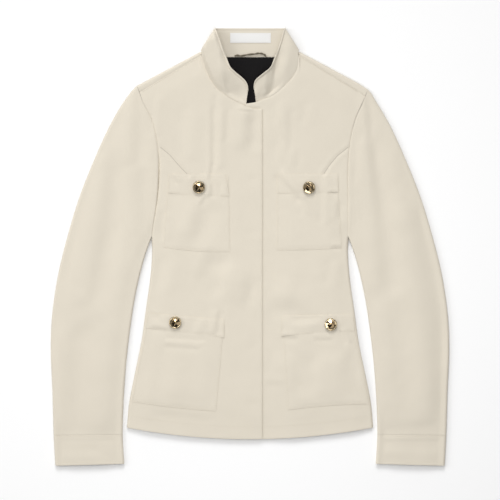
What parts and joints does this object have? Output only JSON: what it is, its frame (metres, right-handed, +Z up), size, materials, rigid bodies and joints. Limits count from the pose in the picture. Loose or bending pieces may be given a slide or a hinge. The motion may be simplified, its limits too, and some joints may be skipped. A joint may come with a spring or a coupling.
{
  "type": "field jacket",
  "caption": "Stand-collar field jacket laid flat and closed, with a hidden front placket, curved sleeves, flapped chest and hip patch pockets and domed metal buttons.",
  "frame": {"origin": "middle of the bounding box's footprint, on the surface that the jacket lies on", "axes": "+Z up from the surface, +Y towards the collar, +X to the viewer's right, the wearer's left"},
  "size_m": [0.6368, 0.6997, 0.0177],
  "materials": {
    "cloth": "matt twill with a faint sheen",
    "lining": "smooth black lining",
    "label": "woven satin tape",
    "cord": "satin cord",
    "buttons": "polished antique gold"
  },
  "bodies": {
    "root": {"back": "cloth", "front_right": "cloth", "front_left": "cloth", "top_sleeve_right": "cloth", "top_sleeve_left": "cloth", "under_sleeve_right": "cloth", "under_sleeve_left": "cloth", "cuff_right": "cloth", "cuff_left": "cloth", "collar": "cloth", "chest_pocket_right": "cloth", "chest_pocket_left": "cloth", "chest_flap_right": "cloth", "chest_flap_left": "cloth", "hip_pocket_right": "cloth", "hip_pocket_left": "cloth", "hip_flap_right": "cloth", "hip_flap_left": "cloth", "neck_lining": "lining", "neck_label": "label", "hanger_loop": "cord", "button_chest_right": "buttons", "button_chest_left": "buttons", "button_hip_right": "buttons", "button_hip_left": "buttons"}
  },
  "joints": []
}
